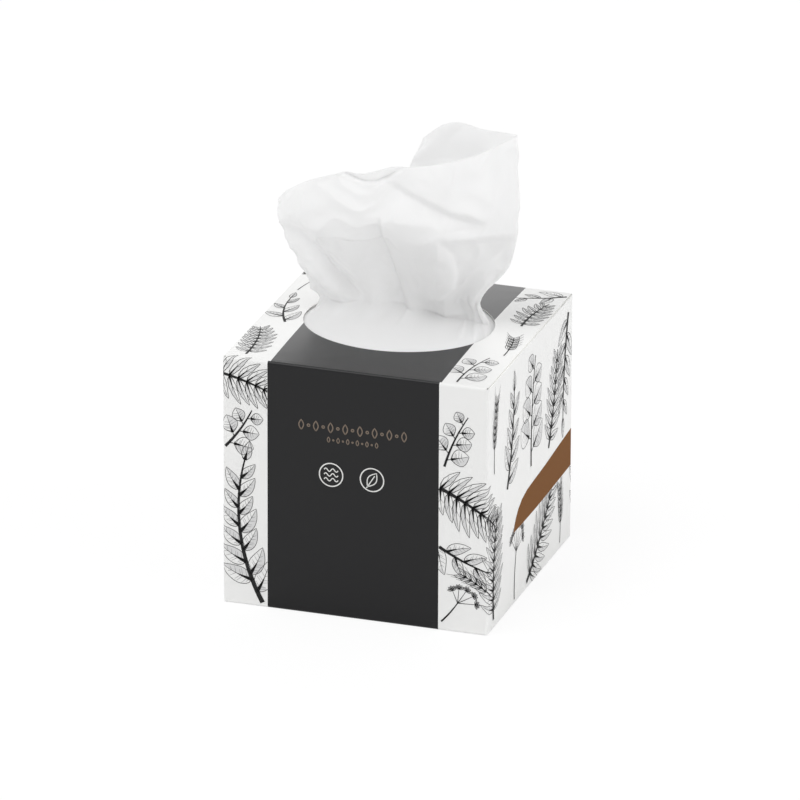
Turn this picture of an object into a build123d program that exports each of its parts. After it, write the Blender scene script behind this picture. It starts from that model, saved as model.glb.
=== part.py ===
"""A cube tissue box: a folded and glued carton, the pile of tissues in it and the sheet that stands in its mouth.

The origin is the middle of the carton's underside. X runs along the front wall, Y towards the back and Z up.
All lengths are in millimetres.
"""

import os
from math import cos, exp, pi, sin

from build123d import *

# Driving dimensions of the carton
carton_width = 110
carton_depth = 110
carton_height = 105
board = 0.45  # thickness of the coated board
fold_radius = 1.2  # outside radius of the folds at the head and the foot of the front wall
corner_radius = 1.0  # outside radius of the four upright folds
cut_setback = 0.5  # a panel's cut edges stop this far inside the wall that they are glued over
crown = 2.2  # how far the full pile presses the middle of the top panel up
mouth_width = 77.2
mouth_depth = 66
mouth_border = 5  # single board left around the mouth, before the glued flaps begin
side_flap = 42
back_flap = 22
flap_gap = 1.5  # between a flap's slanted end and its neighbour
flap_taper = 8  # how much the front end of a side flap slants back
seam_width = 14  # the glued strip inside the rear left corner
seam_relief = 4  # the strip's ends stop this far from the folds

# Driving dimensions of the pile
pile_gap = 1.2  # between the pile and the walls
pile_headroom = 0.3  # between the pile and the flaps under the top panel
pile_shoulder = 20  # radius of the bend at the two shoulders
pile_edge = 2  # rounding along the front and the back of the pile
pile_slit = 2  # between the two legs

# Driving dimensions of the standing sheet
sheet_thickness = 0.4  # three plies with their crepe
sheet_gap = 0.1  # between the sheet and the pile that it lies on
sheet_foot = 3.5  # height over which the sheet turns up from the pile
sheet_tuck = 3  # how far the sheet reaches under the rim of the mouth
sheet_span = 51  # half of the sheet's widest spread
sheet_reach = 20  # how far its lobes lean out to the front and the back
sheet_rise = 84  # its highest corner above the top of the carton
gather_depth = 1.3  # of the small pleats in which it is gathered at its waist
gather_count = 7
gather_head_share = 0.55  # how far up the sheet the pleats run out

# Places on the standing sheet, from its left edge in front, round the right bend, to its edge at the back.
# Each row is a height share and nine places, as shares of the span to the right and of the reach to the back.
section_shares = (
    (0.00, (-0.67, 0.15), (-0.47, 0.10), (-0.24, 0.13), (0.04, 0.22), (0.29, 0.22), (0.53, 0.20),
     (0.71, 0.30), (0.43, 0.65), (0.00, 0.65)),
    (0.12, (-0.73, 0.05), (-0.51, -0.10), (-0.24, 0.05), (0.06, 0.15), (0.29, 0.05), (0.51, 0.10),
     (0.64, 0.30), (0.37, 0.70), (-0.06, 0.70)),
    (0.33, (-0.80, 0.00), (-0.59, -0.35), (-0.27, -0.25), (0.08, -0.25), (0.35, -0.30), (0.64, -0.20),
     (0.87, 0.25), (0.47, 0.85), (-0.07, 0.80)),
    (0.60, (-0.92, -0.05), (-0.69, -0.60), (-0.35, -0.78), (0.04, -0.68), (0.37, -0.60), (0.74, -0.28),
     (0.94, 0.28), (0.54, 0.92), (-0.05, 0.90)),
    (0.82, (-0.97, -0.10), (-0.73, -0.62), (-0.37, -0.82), (0.00, -0.66), (0.37, -0.42), (0.73, -0.05),
     (0.925, 0.38), (0.57, 0.92), (-0.04, 0.95)),
    (1.00, (-1.00, -0.10), (-0.71, -0.60), (-0.39, -0.80), (0.00, -0.60), (0.37, -0.30), (0.71, 0.10),
     (0.91, 0.45), (0.57, 0.90), (0.06, 1.00)),
)
# Heights of the sheet's upper edge at the same nine places, as shares of its rise, and the dip where the front
# of the sheet laps over the back: its place, half width and depth.
edge_height_shares = (0.568, 0.712, 0.792, 0.839, 0.861, 1.00, 0.985, 0.955, 0.90)
edge_dip_shares = (0.575, 0.03, 0.05)
# Directions in which the sheet runs out under the rim at the same nine places, as shares of a turn.
rim_turn_shares = (0.52, 0.595, 0.67, 0.745, 0.82, 0.90, 1.01, 1.15, 1.27)
# Folds that cross the sheet: place and height of the lower end, place and height of the upper end, half width
# along the sheet, and depth as a share of the reach, to the inside where it is positive.
fold_shares = (
    (0.27, 0.00, 0.04, 0.78, 0.050, 0.20),
    (0.42, 0.00, 0.34, 0.66, 0.035, 0.16),
    (0.62, 0.52, 0.38, 1.10, 0.055, 0.15),
    (0.52, 0.08, 0.56, 0.60, 0.045, -0.12),
    (0.86, 0.10, 0.90, 0.80, 0.045, 0.12),
)
# How the sheet turns up from the pile: shares of the way out to under the rim, and of the foot's height.
turn_up_shares = ((1.00, 0), (0.62, 0), (0.30, 0.03), (0.10, 0.3))
sheet_columns = 44
sheet_rows = 15

# Sizes that follow
half_width = carton_width / 2
half_depth = carton_depth / 2
crown_front = fold_radius - half_depth
crown_middle = (crown_front + half_depth) / 2
crown_half = (half_depth - crown_front) / 2
pile_top = carton_height - 2 * board - pile_headroom
half_pile = half_width - board - pile_gap
pile_depth = carton_depth - 4 * board - 2 * pile_gap


def crown_at(x, y):
    """Rise of the top panel above its edges, and of the pile's bend that presses it up."""
    return crown * (1 - (x / half_width) ** 2) * (1 - ((y - crown_middle) / crown_half) ** 2)


def crowned_face(level):
    """The crown as one face whose edges lie at the level."""
    peak = level + 4 * crown
    net = [
        [Vector(x, y, peak if x == 0 and y == crown_middle else level) for y in (crown_front, crown_middle, half_depth)]
        for x in (-half_width, 0, half_width)
    ]
    return Face.make_bezier_surface(net)


def crowned_board(outline, level):
    """Board of the outline's shape that follows the crown, its underside's edges at the level."""
    return extrude(crowned_face(level), board, dir=(0, 0, 1)) & extrude(Pos(0, 0, level) * outline, 2 * crown)


def mouth_column(border):
    """The mouth, widened by the border, as a column through the top."""
    mouth = Ellipse(mouth_width / 2 + border, mouth_depth / 2 + border)
    return extrude(Pos(0, 0, carton_height) * mouth, 2 * crown, both=True)


def side_flap_outline(side):
    """A side flap seen from above, hinged at the wall on the side given by the sign."""
    hinge, free = side * (half_width - corner_radius), side * (half_width - side_flap)
    front, back = flap_gap - half_depth, half_depth - flap_gap
    return make_face(Polyline(
        (hinge, front + corner_radius),
        (free, front + corner_radius + flap_taper),
        (free, back - back_flap),
        (side * (half_width - back_flap), back - back_flap),
        (hinge, back - corner_radius),
        close=True,
    ))


def back_flap_outline():
    """The back flap seen from above, its ends slanted to clear the side flaps."""
    hinge, free = half_depth - corner_radius, half_depth - back_flap
    wide, narrow = half_width - corner_radius - flap_gap, half_width - back_flap - flap_gap
    return make_face(Polyline((-wide, hinge), (-narrow, free), (narrow, free), (wide, hinge), close=True))


def panel_outline():
    """The top or the bottom panel seen from above, from the front fold to its three cut edges."""
    width = carton_width - 2 * cut_setback
    depth = carton_depth - fold_radius - cut_setback
    return Pos(0, crown_front + depth / 2) * Rectangle(width, depth)


def upright_walls():
    """The ring of four walls with their upright folds, open where the front folds over at its head and foot."""
    outside = RectangleRounded(carton_width, carton_depth, corner_radius)
    inside = RectangleRounded(carton_width - 2 * board, carton_depth - 2 * board, corner_radius - board)
    ring = extrude(Pos(0, 0, board) * (outside - inside), carton_height - 2 * board)
    fold_width = carton_width - 2 * corner_radius
    for level in (fold_radius / 2, carton_height - fold_radius / 2):
        ring -= Pos(0, -half_depth, level) * Box(fold_width, 2 * board, fold_radius)
    return ring


def front_folds():
    """The two folds that carry the front wall over into the top panel and the bottom panel."""
    outside = Pos(fold_radius, fold_radius) * Circle(fold_radius)
    inside = Pos(fold_radius, fold_radius) * Circle(fold_radius - board)
    quarter = (outside - inside) & Rectangle(fold_radius, fold_radius, align=Align.MIN)
    foot = Plane((0, -half_depth, 0), x_dir=(0, 1, 0), z_dir=(1, 0, 0)) * quarter
    fold = extrude(foot, half_width - corner_radius, both=True)
    return [fold, mirror(fold, Plane.XY.offset(carton_height / 2))]


def wall_strips():
    """The narrow strips between the flaps and the upright walls, one board in from the top and the bottom."""
    outside = RectangleRounded(carton_width, carton_depth, corner_radius)
    inside = Rectangle(carton_width - 4 * corner_radius, carton_depth - 4 * corner_radius)
    strip = extrude(outside - inside, board)
    strip -= Pos(0, -half_depth) * Box(carton_width, 4 * corner_radius + 2 * board, 4 * board)
    return [Pos(0, 0, board) * strip, Pos(0, 0, carton_height - 2 * board) * strip]


def glued_seam():
    """The strip inside the back wall that closes the ring, its ends cut back at a slant."""
    left = board - half_width
    low, high = seam_relief, carton_height - seam_relief
    outline = make_face(Polyline(
        (left, low), (left + seam_width, low + seam_relief), (left + seam_width, high - seam_relief), (left, high),
        close=True,
    ))
    return extrude(Plane((0, half_depth - board, 0), x_dir=(1, 0, 0), z_dir=(0, -1, 0)) * outline, board)


def build_carton():
    """The whole blank, folded and glued."""
    flaps = [side_flap_outline(-1), side_flap_outline(1), back_flap_outline()]
    solid = upright_walls() + front_folds() + wall_strips() + glued_seam()
    solid += extrude(panel_outline(), board)
    solid += [Pos(0, 0, board) * extrude(flap, board) for flap in flaps]
    under_rim = mouth_column(mouth_border)
    solid += [crowned_board(flap, carton_height - 2 * board) - under_rim for flap in flaps]
    solid += crowned_board(panel_outline(), carton_height - board) - mouth_column(0)
    return solid


def build_pile():
    """The clip of sheets bent over in an inverted U, its bend pressed against the top panel."""
    foot = 2 * board
    outline = Pos(0, foot) * Rectangle(2 * half_pile, pile_top + crown - foot, align=(Align.CENTER, Align.MIN))
    outline = fillet(outline.vertices().group_by(Axis.Y)[-1], pile_shoulder)
    clip = extrude(Plane.XZ * outline, pile_depth / 2, both=True)
    clip = fillet(clip.faces().filter_by(Axis.Y).edges(), pile_edge)
    slit_height = pile_top - foot - (half_pile - pile_slit / 2)
    slit = Pos(0, foot) * Rectangle(pile_slit, slit_height, align=(Align.CENTER, Align.MIN))
    slit += Pos(0, foot + slit_height) * Circle(pile_slit / 2)
    clip -= extrude(Plane.XZ * slit, carton_depth, both=True)
    return clip & extrude(crowned_face(pile_top), carton_height, dir=(0, 0, -1))


def smooth(values, share):
    """The value at a share of the way along evenly spaced values, on a smooth curve through them."""
    last = len(values) - 1
    span = min(max(int(share * last), 0), last - 1)
    part = share * last - span
    before, low, high, after = (values[min(max(span + step, 0), last)] for step in (-1, 0, 1, 2))
    bend = 2 * before - 5 * low + 4 * high - after
    twist = 3 * low - before - 3 * high + after
    return low + ((high - before) * part + bend * part ** 2 + twist * part ** 3) / 2


def between(rise, along):
    """The place in plan on the sheet's smooth sections, without its gathers and folds."""
    heights = [row[0] for row in section_shares]
    span = next((i for i, height in enumerate(heights[1:-1]) if rise < height), len(heights) - 2)
    part = (rise - heights[span]) / (heights[span + 1] - heights[span])
    share = (span + part) / (len(heights) - 1)
    across = smooth([smooth([place[0] for place in row[1:]], along) for row in section_shares], share)
    behind = smooth([smooth([place[1] for place in row[1:]], along) for row in section_shares], share)
    return Vector(sheet_span * across, sheet_reach * behind)


def fold_depth(rise, along):
    """How far the gathers and the folds push the sheet to its inside at this place."""
    depth = gather_depth * max(0, 1 - rise / gather_head_share) * sin(2 * pi * gather_count * along)
    for low, low_rise, high, high_rise, half, share in fold_shares:
        part = (rise - low_rise) / (high_rise - low_rise)
        fade = max(0, 1 - (2 * part - 1) ** 4)
        depth += share * sheet_reach * fade * exp(-((along - low - (high - low) * part) / half) ** 2)
    return depth


def edge_height(along):
    """Height of the sheet's upper edge."""
    dip, half, depth = edge_dip_shares
    share = smooth(edge_height_shares, along) - depth * exp(-((along - dip) / half) ** 2)
    return carton_height + sheet_rise * share


def standing_place(rise, along):
    """A place on the standing part of the sheet."""
    step = 1 / sheet_columns
    run = between(rise, min(along + step, 1)) - between(rise, max(along - step, 0))
    inside = Vector(-run.Y, run.X).normalized()
    plan = between(rise, along) + inside * fold_depth(rise, along)
    low = pile_top + crown_at(plan.X, plan.Y) + sheet_foot
    return Vector(plan.X, plan.Y, low + (edge_height(along) - low) * rise)


def lying_place(out, along, lift):
    """A place on the part of the sheet that lies on the pile, at a share of the way out to under the rim."""
    foot = standing_place(0, along)
    turn = 2 * pi * smooth(rim_turn_shares, along)
    x = foot.X + out * ((mouth_width / 2 + sheet_tuck) * cos(turn) - foot.X)
    y = foot.Y + out * ((mouth_depth / 2 + sheet_tuck) * sin(turn) - foot.Y)
    return Vector(x, y, pile_top + crown_at(x, y) + sheet_gap + sheet_thickness / 2 + lift)


def sheet_places():
    """The sheet's middle surface as rows of places, from under the rim up to its free edge."""
    alongs = [column / sheet_columns for column in range(sheet_columns + 1)]
    rows = [[lying_place(out, along, sheet_foot * lift) for along in alongs] for out, lift in turn_up_shares]
    rows += [[standing_place(row / sheet_rows, along) for along in alongs] for row in range(sheet_rows + 1)]
    return rows


def side_rows(rows, distance):
    """One side of the sheet: the rows of places, moved the distance off the middle surface."""
    def moved(row, column):
        up = rows[min(row + 1, len(rows) - 1)][column] - rows[max(row - 1, 0)][column]
        along = rows[row][min(column + 1, sheet_columns)] - rows[row][max(column - 1, 0)]
        return rows[row][column] + along.cross(up).normalized() * distance

    return [[moved(row, column) for column in range(sheet_columns + 1)] for row in range(len(rows))]


def facets(lower, upper):
    """Flat three-cornered faces between two rows of places."""
    corners = []
    for a, b, c, d in zip(lower, lower[1:], upper[1:], upper):
        corners += [(a, b, c), (a, c, d)]
    return [make_face(Polyline(*places, close=True)) for places in corners]


def build_sheet():
    """The standing sheet: both of its sides in small flat facets, closed along its four edges."""
    rows = sheet_places()
    inner, outer = (side_rows(rows, side * sheet_thickness / 2) for side in (-1, 1))
    faces = []
    for side in (inner, outer):
        for lower, upper in zip(side, side[1:]):
            faces += facets(lower, upper)
    for row in (0, -1):
        faces += facets(inner[row], outer[row])
    for column in (0, -1):
        faces += facets([row[column] for row in inner], [row[column] for row in outer])
    return Solid(Shell(faces))


os.makedirs("parts", exist_ok=True)
export_step(build_carton(), "parts/carton.step")
export_step(build_pile(), "parts/tissue_pile.step")
export_step(build_sheet(), "parts/top_tissue.step")
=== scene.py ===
"""A cube tissue box on a white floor: its printed carton, the pile of tissues and the standing sheet.

Blender works in metres. The frame's origin is the middle of the carton's underside, X runs along the front
wall, Y towards the back and Z up. Sizes of the carton, its print and the sheet are written in millimetres,
and those of the floor, the lamps and the camera's distance in metres.
"""

from math import cos, exp, hypot, pi, radians, sin
from random import Random

import bmesh
import bpy
from mathutils import Matrix, Vector, noise


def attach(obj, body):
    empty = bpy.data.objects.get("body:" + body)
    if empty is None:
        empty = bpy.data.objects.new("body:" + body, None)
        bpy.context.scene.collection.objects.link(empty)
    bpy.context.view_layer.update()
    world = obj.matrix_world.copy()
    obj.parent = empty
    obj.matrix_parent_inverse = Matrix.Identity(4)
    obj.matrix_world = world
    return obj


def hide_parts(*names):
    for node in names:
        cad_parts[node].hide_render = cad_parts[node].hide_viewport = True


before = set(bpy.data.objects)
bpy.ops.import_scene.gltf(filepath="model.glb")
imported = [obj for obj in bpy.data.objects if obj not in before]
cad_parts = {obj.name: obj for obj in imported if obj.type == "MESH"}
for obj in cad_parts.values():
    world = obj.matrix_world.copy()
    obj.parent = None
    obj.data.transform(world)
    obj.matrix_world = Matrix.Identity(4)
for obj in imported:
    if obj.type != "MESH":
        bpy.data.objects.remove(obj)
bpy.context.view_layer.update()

bl_info = {
    "name": "Printed tissue box",
    "version": (1, 0, 0),
    "blender": (4, 5, 0),
    "location": "3D View > Sidebar > Tissue box",
    "description": "Builds a cube tissue box with its printed carton and its standing sheet",
    "category": "Object",
}

MM = 0.001

# Driving sizes of the carton, in millimetres, as in the frame
WIDTH = 110
DEPTH = 110
HEIGHT = 105
BOARD = 0.45  # thickness of the coated board
FOLD_RADIUS = 1.2  # outside radius of the folds at the head and the foot of the front wall
CORNER_RADIUS = 1.0  # outside radius of the four upright folds
CUT_SETBACK = 0.5  # the top panel's cut edges stop this far inside the walls
CROWN = 2.2  # how far the full pile presses the middle of the top panel up
MOUTH_WIDTH = 77.2
MOUTH_DEPTH = 66
PILE_HEADROOM = 0.3  # between the pile and the flaps under the top panel

HALF_WIDTH = WIDTH / 2
HALF_DEPTH = DEPTH / 2
FRONT = -HALF_DEPTH
CROWN_MIDDLE = FOLD_RADIUS / 2
CROWN_HALF = HALF_DEPTH - FOLD_RADIUS / 2
PILE_TOP = HEIGHT - 2 * BOARD - PILE_HEADROOM

# Edges of the charcoal band, from the carton's middle: on the front, then on the top and the back
BAND_LEFT, BAND_RIGHT = -36.4, 34.7
TOP_LEFT, TOP_RIGHT = -35.4, 35.4


def linear_colour(hex_text):
    """The linear red, green and blue of an sRGB colour written in hex."""
    shares = [int(hex_text[i:i + 2], 16) / 255 for i in (0, 2, 4)]
    return [share / 12.92 if share <= 0.04045 else ((share + 0.055) / 1.055) ** 2.4 for share in shares]


def colour_property(name, description, hex_text):
    """A colour that the user picks."""
    return bpy.props.FloatVectorProperty(
        name=name, description=description, subtype="COLOR", size=3, min=0, max=1,
        default=linear_colour(hex_text))


def length_property(name, description, millimetres):
    """A length that the user sets."""
    return bpy.props.FloatProperty(
        name=name, description=description, unit="LENGTH", default=millimetres * MM, precision=5)


class CartonSettings(bpy.types.PropertyGroup):
    """Colours and fields of the printed carton."""

    board: colour_property("Coated board", "White of the carton's coated side", "E5E5E4")
    raw_board: colour_property("Raw board", "The uncoated inside and the cut edges", "F1F1EE")
    charcoal: colour_property("Charcoal", "The broad band over the front, the top and the back", "0D0D0F")
    brown: colour_property("Brown", "The field that runs from the right wall round to the back", "765030")
    bronze: colour_property("Bronze", "The two rows of the ornament on the band", "6F6256")
    white_ink: colour_property("White ink", "The two rings of the ornament on the band", "D9D9D7")
    ink: colour_property("Ink", "The drawn sprigs", "0E0E0F")
    pale_ink: colour_property("Pale ink", "Fine veins in the drawn sprigs", "7C7C7D")
    wash: colour_property("Grey wash", "The shaded halves of the drawn leaves", "CFCFCF")


class TissueSettings(bpy.types.PropertyGroup):
    """Colour, thickness and cut of the sheets."""

    paper: colour_property("Tissue", "White of the three-ply tissue", "F8F8F8")
    thickness: length_property("Thickness", "Three plies with their crepe", 0.3)
    cut: length_property("Cut", "Side of the whole square sheet, about half of which is in the pile", 200)


class StageSettings(bpy.types.PropertyGroup):
    """Floor, light and camera."""

    floor: colour_property("Floor", "White of the floor and the background", "FFFFFF")
    key_strength: bpy.props.FloatProperty(
        name="Key", description="Power of the large lamp high in front", unit="POWER", default=50)
    fill_strength: bpy.props.FloatProperty(
        name="Fill", description="Power of the lamp at the right", unit="POWER", default=21)
    back_strength: bpy.props.FloatProperty(
        name="Back", description="Power of the lamp behind the box, which gleams on its top", unit="POWER",
        default=10)
    room_strength: bpy.props.FloatProperty(
        name="Room", description="Strength of the light from all around", default=0.66, min=0)
    lens: bpy.props.FloatProperty(
        name="Lens", description="The camera's focal length", unit="CAMERA", default=489.2)
    distance: bpy.props.FloatProperty(
        name="Distance", description="From the camera to the box", unit="LENGTH", default=4.3512)


class TissueBoxSettings(bpy.types.PropertyGroup):
    """Everything that the tissue box is built from."""

    carton: bpy.props.PointerProperty(type=CartonSettings)
    tissue: bpy.props.PointerProperty(type=TissueSettings)
    stage: bpy.props.PointerProperty(type=StageSettings)


def add_node(tree, kind, inputs=None, **settings):
    """Adds a node with its settings, its values and its links, each input by its name or its number."""
    node = tree.nodes.new(kind)
    for name, value in settings.items():
        setattr(node, name, value)
    for name, value in (inputs or {}).items():
        if isinstance(value, bpy.types.NodeSocket):
            tree.links.new(value, node.inputs[name])
        else:
            node.inputs[name].default_value = value
    return node


def new_material(name):
    """An empty material and its node tree."""
    material = bpy.data.materials.new(name)
    material.use_nodes = True
    material.node_tree.nodes.clear()
    return material, material.node_tree


def set_surface(tree, shader):
    """Links the shader to the material's output."""
    add_node(tree, "ShaderNodeOutputMaterial", {"Surface": shader})


def bumped(tree, size, detail, strength, height, **settings):
    """The normal of a surface with soft bumps of this size and height, on the object's own coordinates."""
    place = add_node(tree, "ShaderNodeTexCoord").outputs["Object"]
    bumps = add_node(tree, "ShaderNodeTexNoise", {
        "Vector": place, "Scale": 1 / size, "Detail": detail, **settings})
    bump = add_node(tree, "ShaderNodeBump", {
        "Height": bumps.outputs["Fac"], "Strength": strength, "Distance": height})
    return bump.outputs["Normal"]


def coated_board(name, colour, roughness, specular, sheen=0):
    """Folding boxboard with an offset print under a thin dispersion varnish: a satin face, faintly uneven.

    The sheen is the haze that a matt varnish shows on a dark print where it is seen at a flat angle.
    """
    material, tree = new_material(name)
    grain_size, grain_height = 0.6 * MM, 0.05 * MM
    shader = add_node(tree, "ShaderNodeBsdfPrincipled", {
        "Base Color": (*colour, 1), "Roughness": roughness, "Specular IOR Level": specular,
        "Sheen Weight": sheen, "Sheen Roughness": 0.4,
        "Normal": bumped(tree, grain_size, 3, 0.04, grain_height)})
    set_surface(tree, shader.outputs["BSDF"])
    return material


def raw_board(colour):
    """The board's grey-white uncoated side and its cut edges: dry, fully matt fibre."""
    material, tree = new_material("raw board")
    fibre_size, fibre_height = 0.4 * MM, 0.05 * MM
    shader = add_node(tree, "ShaderNodeBsdfPrincipled", {
        "Base Color": (*colour, 1), "Roughness": 0.95, "Specular IOR Level": 0.2,
        "Normal": bumped(tree, fibre_size, 4, 0.2, fibre_height)})
    set_surface(tree, shader.outputs["BSDF"])
    return material


def printing_ink(name, colour):
    """Offset ink in thin lines: flat, a little less glossy than the varnished board around it."""
    material, tree = new_material(name)
    shader = add_node(tree, "ShaderNodeBsdfPrincipled", {
        "Base Color": (*colour, 1), "Roughness": 0.6, "Specular IOR Level": 0.3})
    set_surface(tree, shader.outputs["BSDF"])
    return material


def metallic_ink(colour):
    """Bronze ink: fine flakes in a clear binder, so the lines gleam softly and never mirror."""
    material, tree = new_material("bronze ink")
    shader = add_node(tree, "ShaderNodeBsdfPrincipled", {
        "Base Color": (*colour, 1), "Metallic": 0.35, "Roughness": 0.45})
    set_surface(tree, shader.outputs["BSDF"])
    return material


def creped_tissue(name, colour, share_through):
    """Three-ply creped tissue: matt white with a fine uneven crepe, and some of the light comes through."""
    material, tree = new_material(name)
    crepe_spacing, crepe_height = 0.9 * MM, 0.12 * MM  # the real spacing is near 0.3 mm, too fine to show
    normal = bumped(tree, crepe_spacing, 3, 0.25, crepe_height, Roughness=0.6)
    shader = add_node(tree, "ShaderNodeBsdfPrincipled", {
        "Base Color": (*colour, 1), "Roughness": 1, "Specular IOR Level": 0.1, "Normal": normal})
    through = add_node(tree, "ShaderNodeBsdfTranslucent", {"Color": (*colour, 1), "Normal": normal})
    mixed = add_node(tree, "ShaderNodeMixShader", {
        "Fac": share_through, 1: shader.outputs["BSDF"], 2: through.outputs["BSDF"]})
    set_surface(tree, mixed.outputs["Shader"])
    return material


def crown_at(x, y):
    """Rise of the top panel above its edges, in millimetres, as in the frame."""
    return CROWN * (1 - (x / HALF_WIDTH) ** 2) * (1 - ((y - CROWN_MIDDLE) / CROWN_HALF) ** 2)


def new_piece(name, mesh, materials, node):
    """Puts a finished mesh on the box's one body, and in the place of a CAD node where one is named."""
    piece = bpy.data.objects.new(name, mesh)
    bpy.context.scene.collection.objects.link(piece)
    for material in materials:
        mesh.materials.append(material)
    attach(piece, "root")
    if node:
        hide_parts(node)
    return piece


class TISSUEBOX_OT_carton(bpy.types.Operator):
    """Dresses the folded carton: white coated board outside with its charcoal band, raw board inside"""

    bl_idname = "tissuebox.carton"
    bl_label = "Carton"

    def execute(self, context):
        settings = context.scene.tissue_box.carton
        same_place = 0.001 * MM
        shape = bmesh.new()
        shape.from_mesh(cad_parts["carton"].data)
        bmesh.ops.remove_doubles(shape, verts=shape.verts, dist=same_place)
        for edge in (BAND_LEFT, BAND_RIGHT, TOP_LEFT, TOP_RIGHT):
            bmesh.ops.bisect_plane(
                shape, geom=shape.verts[:] + shape.edges[:] + shape.faces[:], plane_co=(edge * MM, 0, 0),
                plane_no=(1, 0, 0), dist=same_place)
        for face in shape.faces:
            face.smooth = True
            face.material_index = self.finish_of(face)
        mesh = bpy.data.meshes.new("carton")
        shape.to_mesh(mesh)
        shape.free()
        cut_edge_angle = 35
        mesh.set_sharp_from_angle(angle=radians(cut_edge_angle))
        white = coated_board("coated white board", settings.board, roughness=0.42, specular=0.35)
        charcoal = coated_board(
            "charcoal print on coated board", settings.charcoal, roughness=0.3, specular=0.25, sheen=0.35)
        materials = [white, charcoal, raw_board(settings.raw_board)]
        piece = new_piece("printed_carton", mesh, materials, "carton")
        weighted = piece.modifiers.new("flat walls stay flat", "WEIGHTED_NORMAL")
        weighted.keep_sharp = True
        weighted.weight = 100
        return {"FINISHED"}

    def finish_of(self, face):
        """White, charcoal or raw board, by where the face is and which way it looks."""
        white, charcoal, raw = range(3)
        middle = face.calc_center_median() / MM
        normal = face.normal
        skin = 0.2  # less than the board, so that a face this near the outside is on it
        to_wall, to_panel, level = 0.1, 0.5, 0.9  # shares of the normal past which a face looks that way
        fold = FOLD_RADIUS * (middle.y < FRONT + FOLD_RADIUS)
        outside = (
            (normal.x > to_wall and middle.x > HALF_WIDTH - skin)
            or (normal.x < -to_wall and middle.x < skin - HALF_WIDTH)
            or (normal.y > to_wall and middle.y > HALF_DEPTH - skin)
            or (normal.y < -to_wall and middle.y < FRONT + FOLD_RADIUS)
            or (normal.z > to_panel and middle.z > HEIGHT - skin - fold)
            or (normal.z < -to_panel and middle.z < skin + fold)
        )
        if not outside:
            return raw
        left, right = (BAND_LEFT, BAND_RIGHT) if normal.y < -to_wall else (TOP_LEFT, TOP_RIGHT)
        on_side_wall = abs(normal.x) >= to_panel
        on_underside = normal.z < -level
        return charcoal if left < middle.x < right and not on_side_wall and not on_underside else white


# The print is drawn flat, in millimetres: across runs round the walls from the middle of the front to the
# right, and up runs from the foot, over the front's upper fold and back along the top panel.
WALL_HEAD = HEIGHT - FOLD_RADIUS  # where the front wall ends and its upper fold begins
SIDE_HEAD = HEIGHT - 1.6 * BOARD  # where the other walls' print ends, just below the top panel's board
FOLD_LENGTH = FOLD_RADIUS * pi / 2
TOP_START = WALL_HEAD + FOLD_LENGTH
ROUND = 2 * (WIDTH + DEPTH)  # once round the walls, which are all equally wide

# Print heights over the board: they keep one ink over another, and are far too small to see
BROWN_LIFT = 0.01
WASH_LIFT = 0.02
INK_LIFT = 0.07
LEAF_LIFT = 0.002  # from one leaf to the next, so that leaves that cross don't lie in one plane
LEAF_LEVELS = 20  # then the lifts begin again

# The brown field, from its rounded end on the right wall, round the corner to the band on the back wall:
# places across, and its lower and upper edges there
BROWN_FIELD = (
    (88.4, 31.0, 31.2), (89.5, 31.0, 33.4), (91.5, 30.9, 36.2), (94.5, 30.8, 38.9), (99.5, 30.7, 41.4),
    (106, 30.6, 42.9), (116, 30.5, 43.6), (130, 30.6, 44.4), (148, 31.0, 46.0), (165, 31.4, 47.4),
    (184.6, 32.0, 49.0),
)


def brown_edges(across):
    """Lower and upper edge of the brown field at a place across, or None beside it."""
    for (start, low, high), (end, low_end, high_end) in zip(BROWN_FIELD, BROWN_FIELD[1:]):
        if start <= across <= end:
            part = (across - start) / (end - start)
            return low + (low_end - low) * part, high + (high_end - high) * part
    return None


def wall_of(across):
    """Number of the wall, from the front to the right, and the place along it from its middle."""
    turned = (across + HALF_WIDTH) % ROUND
    return int(turned // WIDTH), turned % WIDTH - HALF_WIDTH


def print_place(flat, lift):
    """Where a flat place of the print comes on the folded carton, a little above the board."""
    across, up = flat
    wall, along = wall_of(across)
    reach = CORNER_RADIUS + lift
    round_share = max(0, (abs(along) - HALF_WIDTH + CORNER_RADIUS) / CORNER_RADIUS)
    turn = round_share * pi / 4  # each wall has half of the round corner beside it
    side = HALF_WIDTH - CORNER_RADIUS
    sideways = min(abs(along), side) + reach * sin(turn) if round_share else abs(along)
    sideways *= 1 if along > 0 else -1
    out = side + reach * cos(turn)
    height = up
    if wall == 0 and up > WALL_HEAD:
        bend = min((up - WALL_HEAD) / FOLD_RADIUS, pi / 2)
        out = HALF_DEPTH - FOLD_RADIUS + (FOLD_RADIUS + lift) * cos(bend)
        height = WALL_HEAD + (FOLD_RADIUS + lift) * sin(bend)
        if up > TOP_START:
            out = HALF_DEPTH - FOLD_RADIUS - (up - TOP_START)
            height = HEIGHT + crown_at(along, -out) + lift
        sideways = along
    elif wall == 0 and up < FOLD_RADIUS:
        bend = (FOLD_RADIUS - up) / FOLD_RADIUS
        out = HALF_DEPTH - FOLD_RADIUS + (FOLD_RADIUS + lift) * cos(bend)
        height = FOLD_RADIUS - (FOLD_RADIUS + lift) * sin(bend)
        sideways = along
    x, y = ((sideways, -out), (out, sideways), (-sideways, out), (-out, -sideways))[wall]
    return Vector((x, y, height)) * MM


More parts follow.
